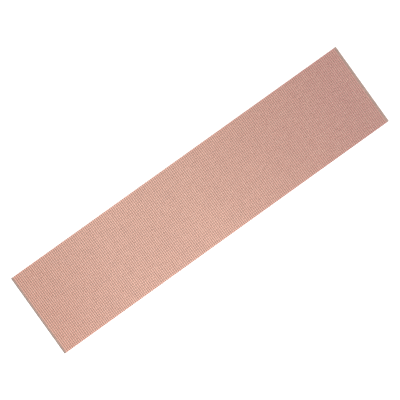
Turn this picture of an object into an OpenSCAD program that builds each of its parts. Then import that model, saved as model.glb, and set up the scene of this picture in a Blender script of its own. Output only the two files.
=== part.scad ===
// Stripboard for prototype circuits: a phenolic-paper sheet with parallel copper
// strips across its width and component holes on a square grid.
// The sheet lies flat on its plain side with the copper up. X runs along the
// length, Y along the strips, and the origin is the middle of the underside.

/* [Base board] */
// Length of the sheet, across the strips
board_length = 500; // [60:1:500]
// Width of the sheet, along the strips
board_width = 100; // [30:1:160]
// Thickness of the laminate without its copper
board_thickness = 1.5; // [0.8:0.1:3.2]

/* [Hole grid] */
// Distance between neighbouring holes, and between neighbouring strips
grid_pitch = 2.54; // [2.54:0.01:5.08]
// Diameter of each component hole
hole_diameter = 1; // [0.6:0.05:1.3]
// Least distance from the centre of an outer hole to a long edge
side_margin = 2.5; // [1.5:0.1:8]
// Rows of holes that are drilled, counted inwards from each of the four edges
drilled_rows = 2; // [1:1:2]

/* [Copper strips] */
// Width of the etched gap between two strips
strip_gap = 0.6; // [0.2:0.05:0.9]
// Thickness of the copper foil
foil_thickness = 0.035; // [0.018:0.001:0.105]
// Least bare margin between an outer strip and the short edge beside it
end_margin = 1.5; // [0.5:0.1:8]
// How far the strips and holes lie off the middle, towards the near short edge
grid_shift = 0.7; // [0:0.1:1.2]

/* [Hidden] */

// Strips and holes: as many as the sheet takes inside its margins
strip_width = grid_pitch - strip_gap;
strip_room = board_length - 2 * (end_margin + grid_shift) - strip_width;
strip_count = 1 + floor(strip_room / grid_pitch);
holes_per_strip = 1 + floor((board_width - 2 * side_margin) / grid_pitch);

// A drill that starts below the sheet and ends above the foil
drill_overrun = 1;
drill_length = board_thickness + foil_thickness + 2 * drill_overrun;
drill_facets = 32;

laminate_colour = [0.56, 0.42, 0.29];
copper_colour = [0.82, 0.58, 0.50];

// Places of a strip's centre line along X and of a row of holes along Y
function strip_x(i) = (i - (strip_count - 1) / 2) * grid_pitch - grid_shift;
function row_y(j) = (j - (holes_per_strip - 1) / 2) * grid_pitch;

// How many rows in from the nearest edge the hole of strip i at row j lies
function rows_from_edge(i, j) =
    min(i, strip_count - 1 - i, j, holes_per_strip - 1 - j);

// The drills for the holes of strip i, at the heights that cut sheet and foil alike
module drills_of_strip(i) {
    for (j = [0 : holes_per_strip - 1])
        if (rows_from_edge(i, j) < drilled_rows)
            translate([strip_x(i), row_y(j), -drill_overrun])
                cylinder(d = hole_diameter, h = drill_length, $fn = drill_facets);
}

// One strip of foil, bonded to the sheet and cut flush with both long edges
module copper_strip(i) {
    difference() {
        translate([strip_x(i) - strip_width / 2, -board_width / 2, board_thickness])
            cube([strip_width, board_width, foil_thickness]);
        drills_of_strip(i);
    }
}

// The sheared laminate sheet, drilled in register with the strips
module base_board() {
    color(laminate_colour)
        difference() {
            translate([-board_length / 2, -board_width / 2, 0])
                cube([board_length, board_width, board_thickness]);
            for (i = [0 : strip_count - 1]) drills_of_strip(i);
        }
}

// All strips, each a separate solid with an etched gap to its neighbours
module copper_strips() {
    color(copper_colour)
        for (i = [0 : strip_count - 1]) copper_strip(i);
}

base_board();
copper_strips();
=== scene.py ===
import math

import bpy
from mathutils import Matrix, Vector


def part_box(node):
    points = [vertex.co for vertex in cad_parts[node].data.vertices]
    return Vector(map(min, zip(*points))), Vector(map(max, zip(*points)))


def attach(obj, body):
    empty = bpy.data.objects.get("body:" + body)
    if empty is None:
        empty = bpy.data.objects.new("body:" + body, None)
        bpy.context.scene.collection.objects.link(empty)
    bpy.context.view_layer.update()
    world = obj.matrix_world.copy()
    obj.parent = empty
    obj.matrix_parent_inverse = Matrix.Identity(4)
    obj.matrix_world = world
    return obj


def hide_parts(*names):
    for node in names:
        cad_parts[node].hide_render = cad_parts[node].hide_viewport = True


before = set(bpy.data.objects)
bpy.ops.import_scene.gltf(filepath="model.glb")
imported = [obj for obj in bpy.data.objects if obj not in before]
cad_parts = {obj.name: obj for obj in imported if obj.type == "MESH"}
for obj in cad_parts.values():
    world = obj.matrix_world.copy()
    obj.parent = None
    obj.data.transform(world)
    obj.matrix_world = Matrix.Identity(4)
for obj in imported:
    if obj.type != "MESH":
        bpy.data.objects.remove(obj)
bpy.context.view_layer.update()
board_low, board_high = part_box("base_board")
strips_low, strips_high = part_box("copper_strips")

# Base board
# The carrier is one sheet of laminated phenolic paper, sheared to size and drilled on a square grid.
# It is modelled in three lengths that meet face to face under copper-free gaps, so that each mesh
# stays light. A node tree cuts one hole in one grid square, lays out the squares and gives them depth.

GRID_PITCH = 0.00254
HOLE_DIAMETER = 0.001
HOLE_RADIUS = HOLE_DIAMETER / 2
HOLE_SIDES = 12
STRIP_COUNT = 1 + math.floor((strips_high.x - strips_low.x) / GRID_PITCH)
STRIP_WIDTH = strips_high.x - strips_low.x - (STRIP_COUNT - 1) * GRID_PITCH
SIDE_MARGIN = 0.0025
HOLES_PER_STRIP = 1 + math.floor((board_high.y - board_low.y - 2 * SIDE_MARGIN) / GRID_PITCH)
FIRST_STRIP_X = strips_low.x + STRIP_WIDTH / 2
FIRST_ROW_Y = -(HOLES_PER_STRIP - 1) * GRID_PITCH / 2
MERGE_DISTANCE = 1e-6
ROUNDED_ANGLE = math.radians(45)
FRAY_WIDTH = 0.0002
# Painted shade in the gaps between the strips: full strength up to this x, then fading to a lighter
# colour at the far end.
GAP_SHADE_FADE_FROM_X = -0.1
SKIN_BUMP_DEPTH = 0.00003
# The lighter painted gap shade at the far end.
FAR_GAP_SHADE = (0.23, 0.157, 0.125)
FRAYED_PULP = (0.62, 0.48, 0.40)

TREE_SIZES = (
    "Columns", "Rows", "First X", "First Y", "Pitch", "Cell Width", "Hole Diameter",
    "Left Edge", "Right Edge", "Front Edge", "Back Edge", "Base Height", "Thickness",
)
WHOLE_NUMBERS = ("Columns", "Rows")


def perforated_tree():
    """Node tree that lays drilled grid squares side by side and turns them into one closed sheet."""
    tree = bpy.data.node_groups.new("drilled_grid", "GeometryNodeTree")
    tree.interface.new_socket("Geometry", in_out="INPUT", socket_type="NodeSocketGeometry")
    for name in TREE_SIZES:
        kind = "NodeSocketInt" if name in WHOLE_NUMBERS else "NodeSocketFloat"
        tree.interface.new_socket(name, in_out="INPUT", socket_type=kind)
    tree.interface.new_socket("Material", in_out="INPUT", socket_type="NodeSocketMaterial")
    tree.interface.new_socket("Geometry", in_out="OUTPUT", socket_type="NodeSocketGeometry")
    nodes, links = tree.nodes, tree.links
    given = nodes.new("NodeGroupInput").outputs
    result = nodes.new("NodeGroupOutput")

    def fed(node, *values):
        """The first output of the node, with these numbers or sockets as its inputs."""
        for socket, value in zip(node.inputs, values):
            if isinstance(value, (int, float)):
                socket.default_value = value
            else:
                links.new(value, socket)
        return node.outputs[0]

    def calculate(operation, first, second):
        node = nodes.new("ShaderNodeMath")
        node.operation = operation
        return fed(node, first, second)

    def vector(x, y, z):
        return fed(nodes.new("ShaderNodeCombineXYZ"), x, y, z)

    outline = nodes.new("GeometryNodeCurvePrimitiveQuadrilateral")
    links.new(given["Cell Width"], outline.inputs["Width"])
    links.new(given["Pitch"], outline.inputs["Height"])
    hole = nodes.new("GeometryNodeCurvePrimitiveCircle")
    hole.inputs["Resolution"].default_value = HOLE_SIDES
    links.new(calculate("MULTIPLY", given["Hole Diameter"], 0.5), hole.inputs["Radius"])
    curves = nodes.new("GeometryNodeJoinGeometry")
    links.new(outline.outputs[0], curves.inputs[0])
    links.new(hole.outputs[0], curves.inputs[0])
    cell = nodes.new("GeometryNodeFillCurve")
    links.new(curves.outputs[0], cell.inputs["Curve"])

    spans = [calculate("MULTIPLY", calculate("SUBTRACT", given[count], 1), given["Pitch"])
             for count in ("Columns", "Rows")]
    grid = nodes.new("GeometryNodeMeshGrid")
    links.new(spans[0], grid.inputs["Size X"])
    links.new(spans[1], grid.inputs["Size Y"])
    links.new(given["Columns"], grid.inputs["Vertices X"])
    links.new(given["Rows"], grid.inputs["Vertices Y"])
    middle = [calculate("ADD", given[first], calculate("MULTIPLY", span, 0.5))
              for first, span in zip(("First X", "First Y"), spans)]
    place = nodes.new("GeometryNodeTransform")
    links.new(grid.outputs["Mesh"], place.inputs["Geometry"])
    links.new(vector(middle[0], middle[1], given["Base Height"]), place.inputs["Translation"])
    copies = nodes.new("GeometryNodeInstanceOnPoints")
    links.new(place.outputs[0], copies.inputs["Points"])
    links.new(cell.outputs[0], copies.inputs["Instance"])
    realized = nodes.new("GeometryNodeRealizeInstances")
    links.new(copies.outputs[0], realized.inputs[0])
    flat = nodes.new("GeometryNodeMergeByDistance")
    links.new(realized.outputs[0], flat.inputs[0])
    flat.inputs["Distance"].default_value = MERGE_DISTANCE

    position = nodes.new("GeometryNodeInputPosition")
    parts = nodes.new("ShaderNodeSeparateXYZ")
    links.new(position.outputs[0], parts.inputs[0])

    def stretched(coordinate, first, count, half, low, high):
        """The coordinate, with what lies on the outer sides of the grid moved out to the edges."""
        start = calculate("SUBTRACT", given[first], half)
        run = calculate("MULTIPLY", calculate("SUBTRACT", given[count], 1), given["Pitch"])
        end = calculate("ADD", calculate("ADD", given[first], run), half)
        value = coordinate
        for limit, operation, edge in ((start, "LESS_THAN", low), (end, "GREATER_THAN", high)):
            slack = MERGE_DISTANCE * (1 if operation == "LESS_THAN" else -1)
            outside = calculate(operation, coordinate, calculate("ADD", limit, slack))
            choice = nodes.new("GeometryNodeSwitch")
            choice.input_type = "FLOAT"
            links.new(outside, choice.inputs["Switch"])
            links.new(value, choice.inputs["False"])
            links.new(given[edge], choice.inputs["True"])
            value = choice.outputs[0]
        return value

    half_width = calculate("MULTIPLY", given["Cell Width"], 0.5)
    half_pitch = calculate("MULTIPLY", given["Pitch"], 0.5)
    x = stretched(parts.outputs[0], "First X", "Columns", half_width, "Left Edge", "Right Edge")
    y = stretched(parts.outputs[1], "First Y", "Rows", half_pitch, "Front Edge", "Back Edge")
    sheet = nodes.new("GeometryNodeSetPosition")
    links.new(flat.outputs[0], sheet.inputs["Geometry"])
    links.new(vector(x, y, parts.outputs[2]), sheet.inputs["Position"])

    raised = nodes.new("GeometryNodeExtrudeMesh")
    raised.mode = "FACES"
    raised.inputs["Individual"].default_value = False
    links.new(sheet.outputs[0], raised.inputs["Mesh"])
    links.new(vector(0, 0, 1), raised.inputs["Offset"])
    links.new(given["Thickness"], raised.inputs["Offset Scale"])
    underside = nodes.new("GeometryNodeFlipFaces")
    links.new(sheet.outputs[0], underside.inputs[0])
    both = nodes.new("GeometryNodeJoinGeometry")
    links.new(raised.outputs[0], both.inputs[0])
    links.new(underside.outputs[0], both.inputs[0])
    closed = nodes.new("GeometryNodeMergeByDistance")
    links.new(both.outputs[0], closed.inputs[0])
    closed.inputs["Distance"].default_value = MERGE_DISTANCE
    rounded = nodes.new("GeometryNodeSetShadeSmooth")
    links.new(closed.outputs[0], rounded.inputs["Geometry"])
    corner = nodes.new("GeometryNodeInputMeshEdgeAngle").outputs["Unsigned Angle"]
    crisp = nodes.new("GeometryNodeSetShadeSmooth")
    crisp.domain = "EDGE"
    crisp.inputs["Shade Smooth"].default_value = False
    links.new(rounded.outputs[0], crisp.inputs["Geometry"])
    links.new(calculate("GREATER_THAN", corner, ROUNDED_ANGLE), crisp.inputs["Selection"])
    real = nodes.new("GeometryNodeRealizeInstances")
    links.new(crisp.outputs[0], real.inputs[0])
    finish = nodes.new("GeometryNodeSetMaterial")
    links.new(real.outputs[0], finish.inputs["Geometry"])
    links.new(given["Material"], finish.inputs["Material"])
    links.new(finish.outputs[0], result.inputs[0])
    return tree


def drilled_piece(name, tree, sizes, material):
    """A plain mesh object made by the tree with these sizes."""
    seed = bpy.data.objects.new(name + "_seed", bpy.data.meshes.new(name + "_seed"))
    bpy.context.scene.collection.objects.link(seed)
    modifier = seed.modifiers.new("grid", "NODES")
    modifier.node_group = tree
    for item in tree.interface.items_tree:
        if item.in_out == "INPUT" and item.name in sizes:
            modifier[item.identifier] = sizes[item.name]
        if item.in_out == "INPUT" and item.name == "Material":
            modifier[item.identifier] = material
    seed.data.update()
    evaluated = seed.evaluated_get(bpy.context.evaluated_depsgraph_get())
    mesh = bpy.data.meshes.new_from_object(evaluated)
    mesh.name = name
    seed.modifiers.clear()
    seed_mesh = seed.data
    bpy.data.objects.remove(seed)
    bpy.data.meshes.remove(seed_mesh)
    piece = bpy.data.objects.new(name, mesh)
    bpy.context.scene.collection.objects.link(piece)
    return piece


def node_maker(owner, shader_name="Principled BSDF"):
    """A material's or world's shader, and two helpers: one adds a node, the other joins two sockets."""
    owner.use_nodes = True
    tree = owner.node_tree

    def add(kind, **settings):
        node = tree.nodes.new(kind)
        for key, value in settings.items():
            setattr(node, key, value)
        return node

    return tree.nodes[shader_name], add, tree.links.new


def ramp_of(add, stops):
    """A colour ramp with these (place, colour) stops."""
    node = add("ShaderNodeValToRGB")
    elements = node.color_ramp.elements
    while len(elements) < len(stops):
        elements.new(0.5)
    for element, (place, colour) in zip(elements, stops):
        element.position = place
        element.color = (*colour, 1)
    return node


def shader_group(name, values_in, values_out):
    """An empty shader node group with these plain-number sockets: the group, its inputs and outputs."""
    tree = bpy.data.node_groups.new(name, "ShaderNodeTree")
    for socket in values_in:
        tree.interface.new_socket(socket, in_out="INPUT", socket_type="NodeSocketFloat")
    for socket in values_out:
        tree.interface.new_socket(socket, in_out="OUTPUT", socket_type="NodeSocketFloat")
    return tree, tree.nodes.new("NodeGroupInput").outputs, tree.nodes.new("NodeGroupOutput").inputs


def mottling_group():
    """Uneven tone for any surface: slow clouds and fine grain, each from 0 to 1, by object place."""
    tree, given, result = shader_group("mottling", ("Cloud Scale", "Grain Scale"), ("Clouds", "Grain"))
    where = tree.nodes.new("ShaderNodeTexCoord")
    for scale, output, detail in (("Cloud Scale", "Clouds", 3), ("Grain Scale", "Grain", 4)):
        noise = tree.nodes.new("ShaderNodeTexNoise")
        noise.inputs["Detail"].default_value = detail
        tree.links.new(where.outputs["Object"], noise.inputs["Vector"])
        tree.links.new(given[scale], noise.inputs["Scale"])
        tree.links.new(noise.outputs[0], result[output])
    return tree


def grid_place_group():
    """Where a point lies in the grid: its strip's number, and how far it is from the middle line of
    the nearest strip and from the centre of the nearest hole, in metres."""
    outputs = ("Strip Number", "From Strip Middle", "From Hole")
    tree, _, result = shader_group("grid_place", (), outputs)

    def vector_step(operation, first, *others):
        node = tree.nodes.new("ShaderNodeVectorMath")
        node.operation = operation
        tree.links.new(first, node.inputs[0])
        for socket, value in zip(node.inputs[1:], others):
            socket.default_value = value
        return node

    where = tree.nodes.new("ShaderNodeTexCoord").outputs["Object"]
    steps = (1 / GRID_PITCH, 1 / GRID_PITCH, 0)
    start = (0.5 - FIRST_STRIP_X / GRID_PITCH, 0.5 - FIRST_ROW_Y / GRID_PITCH, 0)
    counted = vector_step("MULTIPLY_ADD", where, steps, start)
    whole = vector_step("FLOOR", counted.outputs[0])
    lowest = vector_step("MAXIMUM", whole.outputs[0], (0, 0, 0))
    nearest = vector_step("MINIMUM", lowest.outputs[0], (STRIP_COUNT - 1, HOLES_PER_STRIP - 1, 0))
    centre = vector_step("MULTIPLY_ADD", nearest.outputs[0], (GRID_PITCH, GRID_PITCH, 0),
                         (FIRST_STRIP_X, FIRST_ROW_Y, 0))
    away = vector_step("SUBTRACT", where)
    tree.links.new(centre.outputs[0], away.inputs[1])
    flat = vector_step("MULTIPLY", away.outputs[0], (1, 1, 0))
    size = vector_step("ABSOLUTE", flat.outputs[0])
    for vector_out, socket in ((nearest, "Strip Number"), (size, "From Strip Middle")):
        parts = tree.nodes.new("ShaderNodeSeparateXYZ")
        tree.links.new(vector_out.outputs[0], parts.inputs[0])
        tree.links.new(parts.outputs[0], result[socket])
    tree.links.new(vector_step("LENGTH", flat.outputs[0]).outputs["Value"], result["From Hole"])
    return tree


def use_group(add, tree, **values):
    """The outputs of a shader node group, with its inputs set by their names in lower case."""
    node = add("ShaderNodeGroup", node_tree=tree)
    for name, value in values.items():
        node.inputs[name.replace("_", " ").title()].default_value = value
    return node.outputs


def compared(add, link, operation, value, limit):
    """A mask: 1 where the value is on this side of the limit, otherwise 0."""
    node = add("ShaderNodeMath", operation=operation)
    link(value, node.inputs[0])
    node.inputs[1].default_value = limit
    return node.outputs[0]


def product(add, link, first, second):
    """Two masks multiplied; the second may be a plain number."""
    node = add("ShaderNodeMath", operation="MULTIPLY")
    link(first, node.inputs[0])
    if isinstance(second, float):
        node.inputs[1].default_value = second
    else:
        link(second, node.inputs[1])
    return node.outputs[0]


def ranged(add, link, value, from_range, to_range):
    """The value carried over from one range to another, and held at its ends."""
    node = add("ShaderNodeMapRange")
    link(value, node.inputs["Value"])
    node.inputs["From Min"].default_value, node.inputs["From Max"].default_value = from_range
    node.inputs["To Min"].default_value, node.inputs["To Max"].default_value = to_range
    return node.outputs[0]


def colour_mix(add, link, share, first, second):
    """A colour that goes from first to second, each a socket or plain numbers, with share."""
    node = add("ShaderNodeMix", data_type="RGBA")
    link(share, node.inputs["Factor"])
    for socket, value in zip((node.inputs[6], node.inputs[7]), (first, second)):
        if isinstance(value, tuple):
            socket.default_value = (*value, 1)
        else:
            link(value, socket)
    return node.outputs[2]


def laminate_material():
    """Phenolic paper: mottled pulp under a satin resin skin, with painted shade that darkens it
    between the strips, less so towards the far end; pale and frayed at the drilled holes; and with
    painted shade that makes the sheared edges dark brown."""
    material = bpy.data.materials.new("phenolic_paper")
    shader, add, link = node_maker(material)
    grain = use_group(add, mottling_tree, grain_scale=420)["Grain"]
    grid_place = use_group(add, grid_place_tree)
    where = add("ShaderNodeTexCoord")
    place = add("ShaderNodeSeparateXYZ")
    link(where.outputs["Object"], place.inputs[0])
    facing = add("ShaderNodeSeparateXYZ")
    link(where.outputs["Normal"], facing.inputs[0])
    skin = ramp_of(add, ((0.3, (0.40, 0.27, 0.225)), (0.7, (0.52, 0.36, 0.305))))
    # Painted shade: the laminate in the gaps between the strips is painted nearly black-brown.
    gap_shade = ramp_of(add, ((0.3, (0.068, 0.044, 0.032)), (0.7, (0.110, 0.072, 0.054))))
    raw = ramp_of(add, ((0.3, (0.78, 0.64, 0.52)), (0.7, (0.90, 0.78, 0.67))))
    # Painted shade: the sheared edge faces are painted dark brown, far darker than the pale cut core at
    # the holes.
    sheared_edge_shade = ramp_of(add, ((0.3, (0.20, 0.135, 0.105)), (0.7, (0.38, 0.27, 0.21))))
    for ramp in (skin, gap_shade, raw, sheared_edge_shade):
        link(grain, ramp.inputs[0])

    # The painted gap shade grows lighter from near the middle of the board to the far end.
    gap_shade_fade = ranged(add, link, place.outputs[0], (GAP_SHADE_FADE_FROM_X, board_high.x), (0.0, 1.0))
    gap = colour_mix(add, link, gap_shade_fade, gap_shade.outputs[0], FAR_GAP_SHADE)
    upward = compared(add, link, "GREATER_THAN", facing.outputs[2], 0.5)
    in_grid = compared(add, link, "LESS_THAN", grid_place["From Strip Middle"], GRID_PITCH / 2)
    between = product(add, link, upward, in_grid)
    tilt = add("ShaderNodeMath", operation="ABSOLUTE")
    link(facing.outputs[2], tilt.inputs[0])
    cut = compared(add, link, "LESS_THAN", tilt.outputs[0], 0.5)
    outer = compared(add, link, "GREATER_THAN", grid_place["From Hole"], 1.5 * HOLE_DIAMETER)
    fray_zone = (HOLE_RADIUS, HOLE_RADIUS + FRAY_WIDTH)
    frayed = product(add, link, ranged(add, link, grid_place["From Hole"], fray_zone, (0.8, 0.0)), grain)
    worn_skin = colour_mix(add, link, frayed, skin.outputs[0], FRAYED_PULP)
    faces = colour_mix(add, link, between, worn_skin, gap)
    # Cut faces near a hole show the pale raw core; the rest, the sheared edges, get the painted shade.
    cuts = colour_mix(add, link, outer, raw.outputs[0], sheared_edge_shade.outputs[0])
    link(colour_mix(add, link, cut, faces, cuts), shader.inputs["Base Color"])

    rough = add("ShaderNodeMath", operation="MAXIMUM")
    link(ranged(add, link, grain, (0.0, 1.0), (0.42, 0.6)), rough.inputs[0])
    link(cut, rough.inputs[1])
    link(rough.outputs[0], shader.inputs["Roughness"])
    bump = add("ShaderNodeBump")
    bump.inputs["Strength"].default_value = 0.25
    bump.inputs["Distance"].default_value = SKIN_BUMP_DEPTH
    link(grain, bump.inputs["Height"])
    link(bump.outputs[0], shader.inputs["Normal"])
    shader.inputs["Specular IOR Level"].default_value = 0.4
    return material


grid_place_tree = grid_place_group()
mottling_tree = mottling_group()
grid_tree = perforated_tree()
laminate = laminate_material()
common_sizes = {
    "Rows": HOLES_PER_STRIP,
    "First Y": FIRST_ROW_Y,
    "Pitch": GRID_PITCH,
    "Hole Diameter": HOLE_DIAMETER,
    "Front Edge": board_low.y,
    "Back Edge": board_high.y,
}
LENGTH_NAMES = ("near", "middle", "far")
strips_each = math.ceil(STRIP_COUNT / len(LENGTH_NAMES))
lengths = []
for index, length_name in enumerate(LENGTH_NAMES):
    columns = min(strips_each, STRIP_COUNT - index * strips_each)
    first_x = FIRST_STRIP_X + index * strips_each * GRID_PITCH
    left_x = first_x - GRID_PITCH / 2 if index > 0 else board_low.x
    is_last = length_name == LENGTH_NAMES[-1]
    right_x = board_high.x if is_last else first_x + (columns - 0.5) * GRID_PITCH
    lengths.append((length_name, columns, first_x, left_x, right_x))
for length_name, columns, first_x, left_x, right_x in lengths:
    board = drilled_piece("base_board_" + length_name, grid_tree, common_sizes | {
        "Columns": columns,
        "First X": first_x,
        "Cell Width": GRID_PITCH,
        "Left Edge": left_x,
        "Right Edge": right_x,
        "Base Height": board_low.z,
        "Thickness": board_high.z - board_low.z,
    }, laminate)
    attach(board, "root")
    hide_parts("base_board")

# Copper strips
# 195 strips of rolled copper foil, bonded to the sheet and parted by etched gaps, each drilled
# through with the sheet. The bare foil is satin, a little dulled by a film that is partly tarnish and
# partly painted shade darkening it towards both ends, and differs slightly from strip to strip.
# They are made in the same three lengths as the sheet, and each strip is closed.

# The copper has the least dull film and painted shade at this x, near the softbox. Both grow to full
# strength over this range of distance from it, darkening the copper towards both ends.
LEAST_FILM_AND_SHADE_X = -0.07
FILM_AND_SHADE_SPREAD = (0.06, 0.29)
ETCHED_RIM_WIDTH = 0.00008
BURR_WIDTH = 0.00012
BURR_HEIGHT = 0.00002
BRUSHING_SCALE = (120, 5200, 120)
DULLER_COPPER = (0.745, 0.438, 0.368)
# Colours of the dull film with its painted shade at the near and far ends.
NEAR_FILM_AND_SHADE = (0.63, 0.305, 0.235)
FAR_FILM_AND_SHADE = (0.615, 0.315, 0.288)
TARNISH_SPOT = (0.65, 0.39, 0.325)
BRUSHED_COPPER = (0.87, 0.59, 0.50)
ETCHED_COPPER = (0.45, 0.25, 0.19)
BURNISHED_COPPER = (0.92, 0.68, 0.58)


def copper_material():
    """Bare, brushed copper foil under a thin dull film, partly tarnish and partly painted shade, that
    thickens and darkens towards both ends, with a darker rim where the etch bit its edges and a
    burnished ring round every hole."""
    material = bpy.data.materials.new("copper_foil")
    shader, add, link = node_maker(material)
    clouds = use_group(add, mottling_tree, cloud_scale=9)["Clouds"]
    spotted = use_group(add, mottling_tree, cloud_scale=70, grain_scale=3000)
    grid_place = use_group(add, grid_place_tree)
    where = add("ShaderNodeTexCoord")
    place = add("ShaderNodeSeparateXYZ")
    link(where.outputs["Object"], place.inputs[0])

    stretch = add("ShaderNodeMapping")
    stretch.inputs["Scale"].default_value = BRUSHING_SCALE
    brushing = add("ShaderNodeTexNoise")
    brushing.inputs["Scale"].default_value = 1
    brushing.inputs["Detail"].default_value = 3
    link(where.outputs["Object"], stretch.inputs["Vector"])
    link(stretch.outputs[0], brushing.inputs["Vector"])

    tone = ramp_of(add, ((0.25, (0.78, 0.47, 0.38)), (0.75, (0.83, 0.503, 0.408))))
    link(clouds, tone.inputs[0])
    own = add("ShaderNodeTexWhiteNoise", noise_dimensions="1D")
    link(grid_place["Strip Number"], own.inputs["W"])
    own_share = product(add, link, own.outputs["Value"], 0.25)
    tinted = colour_mix(add, link, own_share, tone.outputs[0], DULLER_COPPER)
    # Dull film that is partly tarnish and partly painted shade: it darkens the copper away from the x
    # that the softbox lights most.
    offset = add("ShaderNodeMath", operation="SUBTRACT")
    link(place.outputs[0], offset.inputs[0])
    offset.inputs[1].default_value = LEAST_FILM_AND_SHADE_X
    from_least_film_and_shade = add("ShaderNodeMath", operation="ABSOLUTE")
    link(offset.outputs[0], from_least_film_and_shade.inputs[0])
    film_and_shade = ranged(add, link, from_least_film_and_shade.outputs[0], FILM_AND_SHADE_SPREAD, (0.0, 1.0))
    along = ranged(add, link, place.outputs[0], (board_low.x, board_high.x), (0.0, 1.0))
    film_and_shade_colour = colour_mix(add, link, along, NEAR_FILM_AND_SHADE, FAR_FILM_AND_SHADE)
    filmed_and_shaded = colour_mix(add, link, film_and_shade, tinted, film_and_shade_colour)
    spots = ranged(add, link, spotted["Clouds"], (0.5, 0.75), (0.0, 0.35))
    spotty = colour_mix(add, link, spots, filmed_and_shaded, TARNISH_SPOT)
    streaks = ranged(add, link, brushing.outputs[0], (0.45, 0.7), (0.0, 0.5))
    streaked = colour_mix(add, link, streaks, spotty, BRUSHED_COPPER)
    rim_zone = (STRIP_WIDTH / 2 - ETCHED_RIM_WIDTH, STRIP_WIDTH / 2)
    rim = ranged(add, link, grid_place["From Strip Middle"], rim_zone, (0.0, 0.5))
    rimmed = colour_mix(add, link, rim, streaked, ETCHED_COPPER)
    burr_zone = (HOLE_RADIUS, HOLE_RADIUS + BURR_WIDTH)
    burr = ranged(add, link, grid_place["From Hole"], burr_zone, (1.0, 0.0))
    burnished = colour_mix(add, link, product(add, link, burr, 0.9), rimmed, BURNISHED_COPPER)
    link(burnished, shader.inputs["Base Color"])
    link(ranged(add, link, spotted["Grain"], (0.0, 1.0), (0.52, 0.73)), shader.inputs["Roughness"])

    height = add("ShaderNodeMath", operation="ADD")
    link(brushing.outputs[0], height.inputs[0])
    link(burr, height.inputs[1])
    bump = add("ShaderNodeBump")
    bump.inputs["Strength"].default_value = 0.35
    bump.inputs["Distance"].default_value = BURR_HEIGHT
    link(height.outputs[0], bump.inputs["Height"])
    link(bump.outputs[0], shader.inputs["Normal"])
    shader.inputs["Metallic"].default_value = 0.9
    return material


copper = copper_material()
for length_name, columns, first_x, left_x, right_x in lengths:
    last_x = first_x + (columns - 1) * GRID_PITCH
    strips = drilled_piece("copper_strips_" + length_name, grid_tree, common_sizes | {
        "Columns": columns,
        "First X": first_x,
        "Cell Width": STRIP_WIDTH,
        "Left Edge": first_x - STRIP_WIDTH / 2,
        "Right Edge": last_x + STRIP_WIDTH / 2,
        "Base Height": strips_low.z,
        "Thickness": strips_high.z - strips_low.z,
    }, copper)
    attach(strips, "root")
    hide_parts("copper_strips")

# Floor
# A plain white table top just under the board. The camera sees it as white, apart from the thin
# shadow beside the board's edges.


def looked_at(add, link):
    """A mask: 1 for what the camera sees, straight or in a mirror or through glass."""
    rays = add("ShaderNodeLightPath")
    total = rays.outputs["Is Camera Ray"]
    for other in ("Is Glossy Ray", "Is Transmission Ray"):
        either = add("ShaderNodeMath", operation="MAXIMUM")
        link(total, either.inputs[0])
        link(rays.outputs[other], either.inputs[1])
        total = either.outputs[0]
    return total


FLOOR_SIZE = 6.0
FLOOR_HEIGHT = -0.0001
floor_mesh = bpy.data.meshes.new("floor")
signs = ((-1, -1), (1, -1), (1, 1), (-1, 1))
corners = [(sx * FLOOR_SIZE / 2, sy * FLOOR_SIZE / 2, FLOOR_HEIGHT) for sx, sy in signs]
floor_mesh.from_pydata(corners, [], [(0, 1, 2, 3)])
floor = bpy.data.objects.new("floor", floor_mesh)
bpy.context.scene.collection.objects.link(floor)
floor_material = bpy.data.materials.new("white_table")
floor_shader, add, link = node_maker(floor_material)
floor_shader.inputs["Base Color"].default_value = (0.9, 0.9, 0.9, 1)
floor_shader.inputs["Roughness"].default_value = 0.9
floor_shader.inputs["Specular IOR Level"].default_value = 0.0
seen = ranged(add, link, looked_at(add, link), (0.0, 1.0), (0.0, 0.6))
floor_shader.inputs["Emission Color"].default_value = (1, 1, 1, 1)
link(seen, floor_shader.inputs["Emission Strength"])
floor_mesh.materials.append(floor_material)

# Light
# An even white room, a small softbox beside the board, which shades it gently towards the far end,
# and a weak fill from the camera's side, which reaches into the holes.

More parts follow.
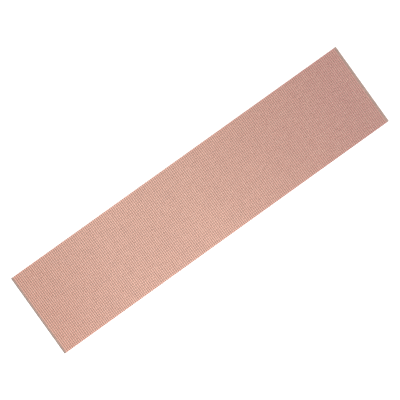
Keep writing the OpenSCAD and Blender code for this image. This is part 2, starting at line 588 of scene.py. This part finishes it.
ROOM_LEVEL = 0.7
world = bpy.data.worlds.new("room")
bpy.context.scene.world = world
background, add, link = node_maker(world, "Background")
background.inputs["Color"].default_value = (1, 1, 1, 1)
room = ranged(add, link, looked_at(add, link), (0.0, 1.0), (ROOM_LEVEL, 1.0))
link(room, background.inputs["Strength"])


def soft_lamp(name, place, side, watts):
    """A square area lamp at this place, aimed at the middle of the board."""
    data = bpy.data.lights.new(name, "AREA")
    data.shape = "SQUARE"
    data.size = side
    data.energy = watts
    lamp = bpy.data.objects.new(name, data)
    lamp.location = place
    lamp.rotation_mode = "QUATERNION"
    lamp.rotation_quaternion = (-place).to_track_quat("-Z", "Y")
    bpy.context.scene.collection.objects.link(lamp)


soft_lamp("softbox", Vector((-0.08, -0.34, 0.25)), 0.25, 0.85)
soft_lamp("fill", Vector((-1.1, 0.1, 1.9)), 0.8, 10)

# Camera
# A very long lens looks along the board from its near short end, 60 degrees down, and is turned
# on its own axis so that the board runs from the lower left to the upper right of the picture.

VIEW_ELEVATION = math.radians(60.0)
VIEW_ROLL = math.radians(54.4)
LENS_MM, SENSOR_MM = 1600.0, 36.0
PICTURE_WIDTH = 0.4347
distance = PICTURE_WIDTH * LENS_MM / SENSOR_MM
back = Vector((-math.cos(VIEW_ELEVATION), 0, math.sin(VIEW_ELEVATION)))
right = Vector((0, -1, 0))
up = back.cross(right)
turned_right = right * math.cos(VIEW_ROLL) + up * math.sin(VIEW_ROLL)
turned_up = up * math.cos(VIEW_ROLL) - right * math.sin(VIEW_ROLL)
camera_data = bpy.data.cameras.new("camera")
camera_data.lens, camera_data.sensor_width = LENS_MM, SENSOR_MM
camera_data.clip_start, camera_data.clip_end = 1.0, 200.0
camera = bpy.data.objects.new("camera", camera_data)
bpy.context.scene.collection.objects.link(camera)
framing_right, framing_up = -0.00156, -0.00104
target = Vector((0, 0, board_high.z)) + turned_right * framing_right + turned_up * framing_up
axes = Matrix((turned_right, turned_up, back)).transposed()
camera.matrix_world = Matrix.Translation(target + back * distance) @ axes.to_4x4()
bpy.context.scene.camera = camera
bpy.context.scene.view_settings.view_transform = "Standard"
